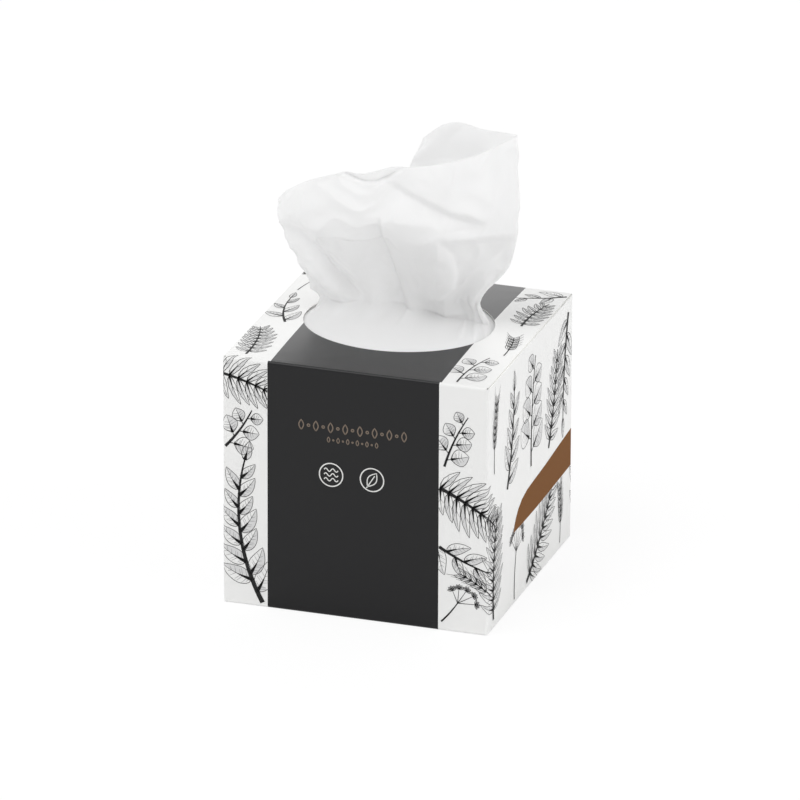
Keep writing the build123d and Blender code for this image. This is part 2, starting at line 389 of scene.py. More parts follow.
def is_sprig_ground(flat):
    """True on the white board: outside the band, the brown field and the mouth, short of the cut edges."""
    across, up = flat
    if not HALF_WIDTH - ROUND / 2 - WIDTH < across < ROUND / 2 + WIDTH / 2:
        return False
    wall, along = wall_of(across)
    if wall == 0:
        if up > TOP_START:
            y = up - TOP_START - HALF_DEPTH + FOLD_RADIUS
            on_panel = abs(along) < HALF_WIDTH - CUT_SETBACK and y < HALF_DEPTH - CUT_SETBACK
            in_mouth = hypot(along / (MOUTH_WIDTH / 2), y / (MOUTH_DEPTH / 2)) < 1
            return on_panel and not in_mouth and not TOP_LEFT < along < TOP_RIGHT
        in_fold = up > WALL_HEAD and abs(along) > HALF_WIDTH - CORNER_RADIUS
        share = max(0, up - WALL_HEAD) / FOLD_LENGTH
        left = BAND_LEFT + (TOP_LEFT - BAND_LEFT) * share
        right = BAND_RIGHT + (TOP_RIGHT - BAND_RIGHT) * share
        return up > BOARD and not in_fold and not left < along < right
    if not BOARD < up < SIDE_HEAD:
        return False
    edges = brown_edges(across)
    if edges and edges[0] < up < edges[1]:
        return False
    if wall == 2:
        return not -TOP_RIGHT < along < -TOP_LEFT
    return True


def blended(station, other, share):
    """The pair of edge places a share of the way from one station of a strip to another."""
    return [place.lerp(goal, share) for place, goal in zip(station, other)]


def is_printed(station):
    """True where both edges of a strip are on the ground of the sprigs."""
    return all(is_sprig_ground(place) for place in station)


def cut_at_edge(inside, outside):
    """The last station on the ground, found by halving the way to one that is off it."""
    halvings = 9
    for _ in range(halvings):
        middle = blended(inside, outside, 0.5)
        if is_printed(middle):
            inside = middle
        else:
            outside = middle
    return inside


def fine_stations(stations):
    """The stations with more between them, close enough to follow the carton's folds."""
    longest_step = 0.9
    fine = [stations[0]]
    for before, after in zip(stations, stations[1:]):
        steps = int((after[0] - before[0]).length / longest_step) + 1
        fine += [blended(before, after, (step + 1) / steps) for step in range(steps)]
    return fine


def printed_runs(stations):
    """The stretches of a strip that fall on the ground, cut off sharply at its edges."""
    runs, run, last = [], [], None
    for station in fine_stations(stations):
        inside = is_printed(station)
        if inside:
            if last and not run:
                run.append(cut_at_edge(station, last))
            run.append(station)
        elif run:
            run.append(cut_at_edge(run[-1], station))
            runs.append(run)
            run = []
        last = station
    if len(run) > 1:
        runs.append(run)
    return runs


def lay_strip(shape, stations, lift, ink):
    """Lays a flat strip on the board: a row of cells between the two edge places of each station."""
    cells = len(stations) - 1
    points = bmesh.ops.create_grid(shape, x_segments=cells, y_segments=1, size=1)["verts"]
    for number, (left, right) in enumerate(stations):
        points[number].co = print_place(left, lift)
        points[number + cells + 1].co = print_place(right, lift)
    for face in {face for point in points for face in point.link_faces}:
        face.material_index = ink


def line_stations(points, start_width, end_width):
    """Stations of a drawn line that tapers from one width to the other."""
    stations = []
    for number, point in enumerate(points):
        run = points[min(number + 1, len(points) - 1)] - points[max(number - 1, 0)]
        across = Vector((-run.y, run.x)).normalized()
        half = (start_width + (end_width - start_width) * number / (len(points) - 1)) / 2
        stations.append((point - across * half, point + across * half))
    return stations


def bowed_line(base, heading, length, bow, steps):
    """Places along a bowed line, and the heading at each of them."""
    places, headings = [base], [heading - bow / 2]
    for step in range(steps):
        now = heading + bow * ((step + 0.5) / steps - 0.5)
        places.append(places[-1] + Vector((cos(now), sin(now))) * length / steps)
        headings.append(now)
    return places, headings


class Sprig:
    """One drawn sprig: its lines and washes as strips, in millimetres, laid out from its base.

    The weight is a factor on the width of its stems and of the heavy strokes in its leaves.
    """

    BLACK, PALE, WASH = range(3)

    # Widths at the start and the end of each kind of line
    OUTLINE = (0.24, 0.17)
    MIDRIB = (0.26, 0.12)
    VEIN = (0.16, 0.10)
    LEAF_STALK = (0.4, 0.3)
    AWN = (0.16, 0.08)
    RAY = (0.3, 0.18)
    ACCENT_WIDEST, ACCENT_SHARE, ACCENT_END = 1.1, 0.26, 0.1  # the heavy stroke: the share is of the breadth

    def __init__(self, seed, weight):
        self.strips = []
        self.level = seed
        self.weight = weight
        self.dice = Random(seed)

    def line(self, points, start_width, end_width, ink=BLACK):
        """A drawn line that tapers from one width to the other."""
        self.strips.append((line_stations(points, start_width, end_width), ink, self.level))

    def stem(self, base, heading, length, bow, start_width, end_width):
        """A bowed stem. Returns its places and the heading at each."""
        points, headings = bowed_line(base, heading, length, bow, 24)
        self.line(points, start_width * self.weight, end_width * self.weight)
        return points, headings

    def leaf(self, base, heading, length, breadth, bow=0, point=0.8, teeth=0, veins=4, steps=12):
        """A leaf with its outline, midrib and veins, washed grey on its shaded half."""
        fullness, tooth_share = 0.85, 0.14
        first_vein, vein_room = 0.08, 0.68  # where along the midrib the veins start
        vein_reach, reach_change = 0.55, 0.35  # how far towards the outline they run
        self.level += 1
        middle, ways = bowed_line(base, heading, length, bow, steps)
        edges = {}
        for side in (-1, 1):
            edge = []
            for number, (place, now) in enumerate(zip(middle, ways)):
                half = breadth / 2 * sin(pi * (number / steps) ** point) ** fullness
                half *= 1 + tooth_share * teeth * (number % 2)
                edge.append(place + Vector((-sin(now), cos(now))) * side * half)
            edges[side] = edge
            self.line(edge, *self.OUTLINE)
        self.strips.append((list(zip(middle, edges[-1])), self.WASH, self.level))
        self.line(middle[:-1], *self.MIDRIB)
        accent = min(self.ACCENT_WIDEST, breadth * self.ACCENT_SHARE) * self.weight
        self.line(middle[:steps // 2 + 1], accent, self.ACCENT_END)
        for vein in range(veins):
            start = int(steps * (first_vein + vein_room * vein / max(veins, 1)))
            for side in (-1, 1):
                reach = vein_reach + reach_change * self.dice.random()
                end = edges[side][min(start + 2, steps)]
                self.line([middle[start], middle[start].lerp(end, reach)], *self.VEIN, self.PALE)

    def feather(self, base, heading, length, bow, leaflet, breadth, pairs, teeth=1):
        """A frond with a row of narrow leaflets on each side that shorten to the tip."""
        first, room = 0.1, 0.88  # where along the stem the leaflets stand
        wide, closing, wander = radians(68), radians(34), radians(6)  # how far they turn away from it
        breadth_share, leaf_bow, point = 0.34, 0.35, 0.75
        points, headings = self.stem(base, heading, length, bow, 1.2, 0.35)
        for number in range(pairs):
            part = first + room * number / pairs
            at = part * (len(points) - 1)
            place = points[int(at)].lerp(points[min(int(at) + 1, len(points) - 1)], at - int(at))
            # Longest below the middle of the frond, and no two quite alike
            swell = 0.35 + 0.65 * sin(pi * (0.12 + 0.8 * part) ** 0.8)
            size = leaflet * swell * (0.92 + 0.16 * self.dice.random())
            for side in (-1, 1):
                spread = wide - closing * part + wander * (self.dice.random() - 0.5)
                self.leaf(place, headings[int(at)] + side * spread, size, min(breadth, size * breadth_share),
                          -side * leaf_bow, point, teeth, veins=2, steps=8)

    def laurel(self, base, heading, length, bow, leaf, breadth, leaves):
        """A twig with plain pointed leaves, one after another on alternate sides."""
        first, room = 0.12, 0.84
        wide, closing = radians(48), radians(14)
        leaf_bow, point, tip_share = 0.4, 0.72, 0.6
        points, headings = self.stem(base, heading, length, bow, 1.3, 0.4)
        for number in range(leaves):
            part = first + room * number / leaves
            at = int(part * (len(points) - 1))
            side = 1 if number % 2 else -1
            size = leaf * (1.05 - 0.45 * part) * (0.9 + 0.2 * self.dice.random())
            self.leaf(points[at], headings[at] + side * (wide - closing * part), size, breadth * size / leaf,
                      -side * leaf_bow, point, veins=6, steps=14)
        self.leaf(points[-1], headings[-1], leaf * tip_share, breadth * tip_share, 0.1, point)

    def coins(self, base, heading, length, bow, leaf, leaves):
        """A twig with round leaves on short stalks."""
        first, room = 0.15, 0.83
        spread, stalk_share, roundness = radians(58), 0.25, 0.92
        points, headings = self.stem(base, heading, length, bow, 1.0, 0.4)
        for number in range(leaves):
            at = int((first + room * number / leaves) * (len(points) - 1))
            side = 1 if number % 2 else -1
            size = leaf * (1.1 - 0.5 * number / leaves)
            now = headings[at] + side * spread
            stalk = points[at] + Vector((cos(now), sin(now))) * size * stalk_share
            self.line([points[at], stalk], *self.LEAF_STALK)
            self.leaf(stalk, now, size, size * roundness, point=1, veins=5, steps=14)

    def grass(self, base, heading, length, bow, husk, pairs):
        """A stalk of grass with its ear of narrow husks close to the stem."""
        first, room = 0.35, 0.64
        spread, breadth_share, husk_bow = radians(24), 0.34, 0.3
        awn_start, awn_share = 0.98, 0.7
        points, headings = self.stem(base, heading, length, bow, 0.6, 0.2)
        for number in range(pairs):
            at = int((first + room * number / pairs) * (len(points) - 1))
            for side in (-1, 1):
                now = headings[at] + side * spread
                self.leaf(points[at], now, husk, husk * breadth_share, -side * husk_bow, veins=1, steps=7)
                tip = points[at] + Vector((cos(now), sin(now))) * husk * awn_start
                self.line([tip, tip + Vector((cos(now), sin(now))) * husk * awn_share], *self.AWN)

    def umbel(self, base, heading, length, bow, spread, rays):
        """A stalk that ends in a fan of rays, each with a little cluster of seeds."""
        fan, cluster_fan, seeds = radians(110), radians(140), 5
        seed_length, seed_breadth = 0.3, 0.13
        points, headings = self.stem(base, heading, length, bow, 0.6, 0.35)
        for ray in range(rays):
            now = headings[-1] + fan * (ray / (rays - 1) - 0.5)
            end = points[-1] + Vector((cos(now), sin(now))) * spread * (0.8 + 0.3 * self.dice.random())
            self.line([points[-1], points[-1].lerp(end, 0.5), end], *self.RAY)
            for seed in range(seeds):
                way = now + cluster_fan * (seed / (seeds - 1) - 0.5)
                self.leaf(end, way, spread * seed_length, spread * seed_breadth, point=1, veins=0, steps=6)


# The sprigs on each face: the face, kind, weight of the lines, place of the base across and up in that face's
# own millimetres, heading in degrees, and then the measures that the kind takes, from its length on. Faces
# are seen from outside, the top from above.
SPRIGS = (
    ("front", "laurel", 1.6, (-38.5, 2), 97, (62, -0.75, 14, 6.8, 13)),
    ("front", "feather", 1.2, (-63, 99), -16, (34, -0.35, 12, 2.8, 8)),
    ("front", "coins", 1.2, (-54, 67), 56, (20, 0.3, 7.5, 5)),
    ("front", "coins", 1.0, (37, 70), 66, (24, -0.3, 7, 6)),
    ("front", "feather", 1.4, (32, 62), -30, (38, -0.3, 14, 3.2, 9)),
    ("front", "laurel", 1.1, (33, 37), -24, (24, 0.3, 12, 5.5, 5)),
    ("front", "umbel", 1.2, (36, 4), 52, (11, 0.2, 7, 5)),
    ("front", "grass", 1.0, (60, 15), 148, (20, 0.3, 5, 5)),
    ("right", "grass", 1.1, (-47, 66), 84, (32, -0.3, 5.5, 7)),
    ("right", "laurel", 1.6, (-30, 53), 78, (40, 0.4, 14, 6.5, 8)),
    ("right", "coins", 1.5, (1, 51), 84, (46, -0.3, 12.5, 8)),
    ("right", "feather", 1.5, (24, 50), 74, (40, 0.3, 13, 3.2, 8)),
    ("right", "laurel", 1.6, (49, 99), -98, (44, 0.3, 14, 6, 8)),
    ("right", "feather", 1.5, (-47, 4), 84, (46, -0.4, 14, 3.2, 10)),
    ("right", "umbel", 1.4, (-20, 2), 84, (20, -0.3, 10, 6)),
    ("right", "feather", 1.7, (-4, 3), 42, (48, 0.4, 15, 3.4, 10)),
    ("right", "grass", 1.0, (40, 3), 92, (26, 0.3, 6, 7)),
    ("top", "coins", 0.7, (41, -52), 80, (28, -0.4, 8, 5)),
    ("top", "grass", 0.8, (50, -20), 96, (20, 0.3, 5, 5)),
    ("top", "feather", 0.8, (47, 12), 84, (28, -0.3, 8, 2.2, 7)),
    ("top", "laurel", 0.8, (54, 50), 205, (22, -0.4, 10, 4.5, 4)),
    ("top", "feather", 0.8, (-47, -50), 98, (30, 0.4, 9, 2.4, 8)),
    ("top", "laurel", 0.8, (-43, -14), 104, (28, -0.5, 10, 4.5, 5)),
    ("top", "umbel", 0.8, (-50, 22), 78, (13, -0.2, 8, 5)),
    ("top", "coins", 0.8, (-37, 50), 186, (20, -0.5, 7, 4)),
    ("left", "feather", 1.6, (40, 4), 108, (76, -0.4, 17, 3.6, 15)),
    ("left", "coins", 1.2, (-2, 6), 86, (50, 0.4, 12, 9)),
    ("left", "laurel", 1.2, (18, 62), 108, (38, 0.4, 14, 6.5, 8)),
    ("left", "grass", 1.0, (-24, 58), 92, (36, -0.3, 7, 8)),
    ("left", "feather", 1.4, (-44, 6), 86, (58, -0.4, 14, 3.4, 11)),
    ("left", "umbel", 1.0, (18, 5), 80, (32, 0.3, 12, 7)),
    ("left", "laurel", 1.0, (-50, 76), 62, (24, 0.4, 11, 5.5, 5)),
    ("back", "laurel", 1.5, (-48, 4), 88, (56, -0.3, 13, 6, 11)),
    ("back", "feather", 1.2, (-44, 66), 94, (34, 0.4, 10, 2.8, 8)),
    ("back", "coins", 1.0, (45, 3), 88, (38, 0.3, 9, 8)),
    ("back", "feather", 1.3, (47, 50), 96, (44, -0.4, 11, 3, 10)),
)


def flat_place(face, place):
    """The flat place in the whole print of a place on one face."""
    x, y = place
    walls = {"front": 0, "right": WIDTH, "back": 2 * WIDTH, "left": -WIDTH}
    if face == "top":
        return Vector((x, TOP_START + y + HALF_DEPTH - FOLD_RADIUS))
    return Vector((walls[face] + x, y))


class TISSUEBOX_OT_print(bpy.types.Operator):
    """Prints the carton: sprigs drawn in black on the white board, and the brown field at the right"""

    bl_idname = "tissuebox.print"
    bl_label = "Drawn sprigs and brown field"

    def execute(self, context):
        settings = context.scene.tissue_box.carton
        shape = bmesh.new()
        for number, (face, kind, weight, place, heading, measures) in enumerate(SPRIGS):
            sprig = Sprig(number, weight)
            getattr(sprig, kind)(flat_place(face, place), radians(heading), *measures)
            self.print_sprig(shape, sprig)
        mesh = bpy.data.meshes.new("drawn_sprigs")
        shape.to_mesh(mesh)
        shape.free()
        inks = [
            printing_ink("black ink", settings.ink), printing_ink("pale ink", settings.pale_ink),
            printing_ink("grey wash", settings.wash),
        ]
        new_piece("drawn_sprigs", mesh, inks, None)
        self.print_field(settings.brown)
        return {"FINISHED"}

    def print_field(self, colour):
        """Lays the brown field round the corner."""
        shape = bmesh.new()
        stations = [(Vector((across, low)), Vector((across, high))) for across, low, high in BROWN_FIELD]
        lay_strip(shape, fine_stations(stations), BROWN_LIFT, 0)
        mesh = bpy.data.meshes.new("brown_field")
        shape.to_mesh(mesh)
        shape.free()
        brown = coated_board("brown print on coated board", colour, roughness=0.6, specular=0.02)
        new_piece("brown_field", mesh, [brown], None)

    def print_sprig(self, shape, sprig):
        """Adds one sprig to the whole drawing."""
        drawn = bmesh.new()
        for stations, ink, level in sprig.strips:
            lift = (WASH_LIFT if ink == Sprig.WASH else INK_LIFT) + LEAF_LIFT * (level % LEAF_LEVELS)
            for run in printed_runs(stations):
                lay_strip(drawn, run, lift, ink)
        mesh = bpy.data.meshes.new("sprig")
        drawn.to_mesh(mesh)
        drawn.free()
        shape.from_mesh(mesh)
        bpy.data.meshes.remove(mesh)


# The ornament on the band of the front wall. Its two bronze rows: the middle across and up, the row's length,
# its number of shapes, their height and the line's width. Then its two white rings.
ORNAMENT_ROWS = ((-1.0, 80.3, 44.6, 15, 4.2, 0.5), (-1.0, 75.2, 21.0, 11, 2.3, 0.4))
LENS_BREADTH_SHARE, DOT_RADIUS_SHARE = 0.46, 0.12  # a lens's and a small ring's, as shares of the height
RING_PLACES = ((-9.9, 60.4), (7.1, 60.4))
RING_RADIUS = 4.85
RING_LINE = 0.5
GLYPH_LINE = 0.42  # of what is drawn inside the rings
BRONZE, WHITE = range(2)


def ring_points(middle, radius, steps=40):
    """Places round a circle, its first one again at the end."""
    turns = [2 * pi * step / steps for step in range(steps + 1)]
    return [middle + Vector((cos(turn), sin(turn))) * radius for turn in turns]


def lens_points(middle, breadth, height, lean=0, steps=9):
    """Places round a pointed lens that leans to the right by an angle, its first one again at the end."""
    way = Vector((sin(lean), cos(lean)))
    side = Vector((cos(lean), -sin(lean)))
    shares = [step / steps for step in range(steps + 1)]
    right = [middle + way * height * (share - 0.5) + side * breadth / 2 * sin(pi * share) for share in shares]
    left = [middle + way * height * (share - 0.5) - side * breadth / 2 * sin(pi * share) for share in shares]
    return right + left[-2::-1]


class TISSUEBOX_OT_ornament(bpy.types.Operator):
    """Prints the ornament on the band: two rows of small bronze shapes and two white rings"""

    bl_idname = "tissuebox.ornament"
    bl_label = "Ornament on the band"

    def execute(self, context):
        settings = context.scene.tissue_box.carton
        shape = bmesh.new()
        for across, up, length, count, height, width in ORNAMENT_ROWS:
            self.row(shape, Vector((across, up)), length, count, height, width)
        for number, place in enumerate(RING_PLACES):
            middle = Vector(place)
            self.lay_line(shape, ring_points(middle, RING_RADIUS), RING_LINE, WHITE)
            (self.leaf if number else self.waves)(shape, middle)
        mesh = bpy.data.meshes.new("band_ornament")
        shape.to_mesh(mesh)
        shape.free()
        inks = [metallic_ink(settings.bronze), printing_ink("white ink", settings.white_ink)]
        new_piece("band_ornament", mesh, inks, None)
        return {"FINISHED"}

    def lay_line(self, shape, points, width, ink):
        """A printed line of one width through the places."""
        lay_strip(shape, line_stations(points, width, width), INK_LIFT, ink)

    def row(self, shape, middle, length, count, height, width):
        """A row of upright lens outlines with small rings between them."""
        breadth = height * LENS_BREADTH_SHARE
        for number in range(count):
            place = middle + Vector(((number / (count - 1) - 0.5) * (length - breadth), 0))
            if number % 2:
                self.lay_line(shape, ring_points(place, height * DOT_RADIUS_SHARE, 16), width, BRONZE)
            else:
                self.lay_line(shape, lens_points(place, breadth, height), width, BRONZE)

    def waves(self, shape, middle):
        """Three waves one above another, each with two crests."""
        reach, pitch, swing = RING_RADIUS * 0.6, RING_RADIUS * 0.42, RING_RADIUS * 0.13
        steps, crests = 24, 2
        shares = [step / steps for step in range(steps + 1)]
        for level in (-1, 0, 1):
            places = [((2 * share - 1) * reach, level * pitch + swing * sin(2 * crests * pi * share))
                      for share in shares]
            self.lay_line(shape, [middle + Vector(place) for place in places], GLYPH_LINE, WHITE)

    def leaf(self, shape, middle):
        """A leaf with its midrib, which runs out below it as its stalk."""
        lean, height, breadth_share = radians(32), RING_RADIUS * 1.45, 0.52
        stalk_share, midrib_share = 0.62, 0.3  # how far the line runs down and up from the leaf's middle
        way = Vector((sin(lean), cos(lean)))
        self.lay_line(shape, lens_points(middle, height * breadth_share, height, lean), GLYPH_LINE, WHITE)
        self.lay_line(shape, [middle - way * height * stalk_share, middle + way * height * midrib_share],
                      GLYPH_LINE, WHITE)


# Places on the standing sheet, from its left edge in front, round the right bend, to its edge at the back.
# Each row is a height share and nine places, as shares of the span to the right and of the reach to the back.
SECTION_SHARES = (
    (0.00, (-0.67, 0.15), (-0.47, 0.10), (-0.24, 0.13), (0.04, 0.22), (0.29, 0.22), (0.53, 0.20),
     (0.71, 0.30), (0.43, 0.65), (0.00, 0.65)),
    (0.12, (-0.73, 0.05), (-0.51, -0.10), (-0.24, 0.05), (0.06, 0.15), (0.29, 0.05), (0.51, 0.10),
     (0.64, 0.30), (0.37, 0.70), (-0.06, 0.70)),
    (0.33, (-0.80, 0.00), (-0.59, -0.35), (-0.27, -0.25), (0.08, -0.25), (0.35, -0.30), (0.64, -0.20),
     (0.87, 0.25), (0.47, 0.85), (-0.07, 0.80)),
    (0.60, (-0.92, -0.05), (-0.69, -0.60), (-0.35, -0.78), (0.04, -0.68), (0.37, -0.60), (0.74, -0.28),
     (0.94, 0.28), (0.54, 0.92), (-0.05, 0.90)),
    (0.82, (-0.97, -0.10), (-0.73, -0.62), (-0.37, -0.82), (0.00, -0.66), (0.37, -0.42), (0.73, -0.05),
     (0.925, 0.38), (0.57, 0.92), (-0.04, 0.95)),
    (1.00, (-1.00, -0.10), (-0.71, -0.60), (-0.39, -0.80), (0.00, -0.60), (0.37, -0.30), (0.71, 0.10),
     (0.91, 0.45), (0.57, 0.90), (0.06, 1.00)),
)
# Heights of the sheet's upper edge at seventeen evenly spaced places, as shares of its rise.
EDGE_HEIGHT_SHARES = (
    0.565, 0.644, 0.714, 0.762, 0.792, 0.799, 0.837, 0.847, 0.858, 0.885, 0.918, 0.965, 0.98, 0.961, 0.948,
    0.957, 0.859,
)
# Directions in which the sheet runs out under the rim at the nine places of a section, as shares of a turn.
RIM_TURN_SHARES = (0.52, 0.595, 0.67, 0.745, 0.82, 0.90, 1.01, 1.15, 1.27)
# Broad folds: place and height of the lower end, place and height of the upper end, half width along the
# sheet, and depth as a share of the reach, to the inside where it is positive.
FOLD_SHARES = (
    (0.27, 0.00, 0.04, 0.78, 0.050, 0.08),
    (0.225, -0.03, 0.030, 0.72, 0.028, 0.27),
    (0.150, 0.00, 0.020, 0.40, 0.030, -0.08),
    (0.42, 0.00, 0.34, 0.66, 0.035, 0.06),
    (0.52, 0.08, 0.56, 0.60, 0.045, -0.08),
    (0.86, 0.10, 0.90, 0.80, 0.045, 0.12),
)
# Laps, where the paper steps back sharply behind a crease and comes forward again: the crease as places along
# the sheet and up it, then the step, how far it takes to come forward and how soft the crease is, in
# millimetres. The paper is set back on the left of the way along the crease.
LAPS = (
    (((0.190, 1.05), (0.306, 0.940), (0.344, 0.915), (0.375, 0.930), (0.415, 1.00)), 3.4, 6, 0.8),
    (((0.630, 0.62), (0.525, 0.71), (0.463, 0.79), (0.419, 0.845), (0.365, 0.925)), 2.3, 10, 2.1),
    (((0.352, 0.55), (0.294, 0.52), (0.237, 0.52), (0.155, 0.56)), 4.0, 13, 0.7),
    (((0.387, -0.05), (0.350, 0.09), (0.331, 0.26), (0.331, 0.41), (0.346, 0.70)), 3.6, 8, 0.5),
    (((0.030, 0.71), (0.087, 0.56), (0.131, 0.45), (0.175, 0.32), (0.200, 0.20), (0.222, -0.03)),
     1.6, 11, 2.0),
    (((0.740, 0.49), (0.613, 0.53), (0.505, 0.53)), 3.6, 30, 2.6),
    (((0.500, 0.55), (0.544, 0.43), (0.562, 0.30), (0.569, 0.21), (0.525, 0.13), (0.410, 0.05)), 1.8, 7, 1.2),
    (((0.630, 0.03), (0.520, 0.01), (0.385, 0.02)), 1.2, 4, 0.8),
    (((0.648, -0.03), (0.660, 0.06), (0.645, 0.15)), 1.5, 3, 0.5),
    (((0.690, -0.03), (0.684, 0.05), (0.694, 0.11)), 1.2, 3, 0.5),
)
SHEET_SPAN = 51  # half of the sheet's widest spread
SHEET_REACH = 20  # how far its lobes lean out to the front and the back
SHEET_RISE = 84  # the height of its head above the carton, of which the edge heights are shares
SHEET_LENGTH = 165  # along its upper edge
SHEET_FOOT = (4.5, 1.4)  # height over which the sheet turns up, from its left half to its right bend
FOOT_CHANGE_SHARES = (0.34, 0.46)  # where along the sheet the one passes into the other
FOOT_RUN_SHARE, FOOT_BEND = 0.45, 2.2  # how far out the turn's lift reaches, and how soon it falls off
SHEET_TUCK = 3  # how far the sheet reaches under the rim of the mouth
GATHER_DEPTH = 1.3  # of the small pleats in which it is gathered at its waist
GATHER_COUNT = 7
GATHER_HEAD_SHARE = 0.55  # how far up the sheet the pleats run out
CRUMPLE_SIZES = (15, 11)  # from one swell to the next, and from one small crease to the next
CRUMPLE_DEPTHS = (1.0, 1.3)  # of the swells and of the small creases
CREASE_START = Vector((7, 3, 5))  # another stretch of the noise than the swells have
LIE_GAP = 0.3  # the sheet's middle above the pile where it lies on it
PUFF = 0.9  # how far it puffs up inside the rim, level with the top panel
PUFF_RUN = 5  # how far from the rim it takes to do so
PUCKER_RUN = 2  # how far from the rim a pucker takes to reach its height
PUCKER_SHARE = 0.8  # how far out a pucker runs
# Small puckers in the lying part at the mouth's right end: place along the sheet, half width, height.
PUCKERS = ((0.605, 0.010, 0.8), (0.660, 0.014, 1.5), (0.705, 0.011, 0.9))


def smooth_value(values, share):
    """The value at a share of the way along evenly spaced values, on a smooth curve through them."""
    last = len(values) - 1
    span = min(max(int(share * last), 0), last - 1)
    part = share * last - span
    before, low, high, after = (values[min(max(span + step, 0), last)] for step in (-1, 0, 1, 2))
    bend = 2 * before - 5 * low + 4 * high - after
    twist = 3 * low - before - 3 * high + after
    return low + ((high - before) * part + bend * part ** 2 + twist * part ** 3) / 2


def section_place(rise, along):
    """The place in plan on the sheet's smooth sections, without its gathers and folds, in millimetres."""
    heights = [row[0] for row in SECTION_SHARES]
    span = next((i for i, height in enumerate(heights[1:-1]) if rise < height), len(heights) - 2)
    part = (rise - heights[span]) / (heights[span + 1] - heights[span])
    share = (span + part) / (len(heights) - 1)
    across, behind = (
        smooth_value([smooth_value([place[axis] for place in row[1:]], along) for row in SECTION_SHARES], share)
        for axis in range(2)
    )
    return Vector((SHEET_SPAN * across, SHEET_REACH * behind))


def fold_depth(rise, along):
    """How far gathers, folds and laps push the sheet to its inside at this place, in millimetres."""
    depth = GATHER_DEPTH * max(0, 1 - rise / GATHER_HEAD_SHARE) * sin(2 * pi * GATHER_COUNT * along)
    for low, low_rise, high, high_rise, half, share in FOLD_SHARES:
        part = (rise - low_rise) / (high_rise - low_rise)
        fade = max(0, 1 - (2 * part - 1) ** 4)
        depth += share * SHEET_REACH * fade * exp(-((along - low - (high - low) * part) / half) ** 2)
    return depth + sum(lap_depth(rise, along, *lap) for lap in LAPS) + crumple(rise, along)


def crumple(rise, along):
    """The soft unevenness and the small creases that handling leaves in the paper, in millimetres."""
    place = Vector((along * SHEET_LENGTH, rise * SHEET_RISE, 0))
    swell = noise.noise(place / CRUMPLE_SIZES[0])
    crease = abs(noise.noise(place / CRUMPLE_SIZES[1] + CREASE_START))
    return CRUMPLE_DEPTHS[0] * swell + CRUMPLE_DEPTHS[1] * crease


def lap_depth(rise, along, crease, step, recovery, softness):
    """How far one lap sets the paper back at this place, in millimetres."""
    steepness = 1.5
    place = Vector((along * SHEET_LENGTH, rise * SHEET_RISE))
    corners = [Vector((part * SHEET_LENGTH, height * SHEET_RISE)) for part, height in crease]
    length = sum((end - start).length for start, end in zip(corners, corners[1:]))
    passed, nearest, behind, progress = 0, None, 0, 0
    for start, end in zip(corners, corners[1:]):
        run = end - start
        part = min(1, max(0, (place - start).dot(run) / run.length_squared))
        gap = (place - start - run * part).length
        if nearest is None or gap < nearest:
            nearest = gap
            behind = gap if run.cross(place - start) > 0 else -gap
            progress = (passed + part * run.length) / length
        passed += run.length
    if behind < -softness:
        return 0
    fade = 1 - (2 * progress - 1) ** 4
    rising = eased((behind + softness) / (2 * softness))
    return step * fade * rising * exp(-(max(0, behind) / recovery) ** steepness)


def eased(share):
    """The share, held between nought and one, with a soft start and end."""
    share = min(1, max(0, share))
    return share ** 2 * (3 - 2 * share)


def foot_height(along):
    """Height over which the sheet turns up from the pile, in millimetres."""
    wide, tight = SHEET_FOOT
    start, end = FOOT_CHANGE_SHARES
    return wide + (tight - wide) * eased((along - start) / (end - start))


def rim_share(x, y, run):
    """Nought at the rim of the mouth and beyond, one where the place is at least the run inside it."""
    inside_rim = (1 - hypot(x / (MOUTH_WIDTH / 2), y / (MOUTH_DEPTH / 2))) * MOUTH_DEPTH / 2
    return eased(inside_rim / run)


def lying_height(x, y):
    """Height of the sheet's middle where it lies on the pile, in millimetres."""
    return PILE_TOP + crown_at(x, y) + LIE_GAP + PUFF * rim_share(x, y, PUFF_RUN)


def edge_height(along):
    """Height of the sheet's upper edge, in millimetres."""
    return HEIGHT + SHEET_RISE * smooth_value(EDGE_HEIGHT_SHARES, along)


def standing_place(rise, along):
    """A place on the standing part of the sheet, in millimetres."""
    step = 0.0125  # to either side, for the direction in which the sheet runs
    run = section_place(rise, min(along + step, 1)) - section_place(rise, max(along - step, 0))
    inside = Vector((-run.y, run.x)).normalized()
    plan = section_place(rise, along) + inside * fold_depth(rise, along)
    low = lying_height(plan.x, plan.y) + foot_height(along)
    return Vector((plan.x, plan.y, low + (edge_height(along) - low) * rise))


def lying_place(out, along):
    """A place on the part of the sheet that lies on the pile, a share of the way out to under the rim."""
    foot = standing_place(0, along)
    turn = 2 * pi * smooth_value(RIM_TURN_SHARES, along)
    x = foot.x + out * ((MOUTH_WIDTH / 2 + SHEET_TUCK) * cos(turn) - foot.x)
    y = foot.y + out * ((MOUTH_DEPTH / 2 + SHEET_TUCK) * sin(turn) - foot.y)
    lift = foot_height(along) * max(0, 1 - out / FOOT_RUN_SHARE) ** FOOT_BEND
    pucker = sum(height * exp(-((along - middle) / half) ** 2) for middle, half, height in PUCKERS)
    pucker *= rim_share(x, y, PUCKER_RUN) * sin(pi * min(1, out / PUCKER_SHARE))
    return Vector((x, y, lying_height(x, y) + lift + pucker))


class TISSUEBOX_OT_pile(bpy.types.Operator):
    """Gives the pile of folded tissues its paper"""

    bl_idname = "tissuebox.pile"
    bl_label = "Pile of tissues"

    def execute(self, context):
        paper = context.scene.tissue_box.tissue.paper
        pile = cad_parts["tissue_pile"]
        pile.data.materials.clear()
        # The pile is many sheets deep, so no light comes through it.
        pile.data.materials.append(creped_tissue("creped tissue in the pile", paper, share_through=0))
        return {"FINISHED"}


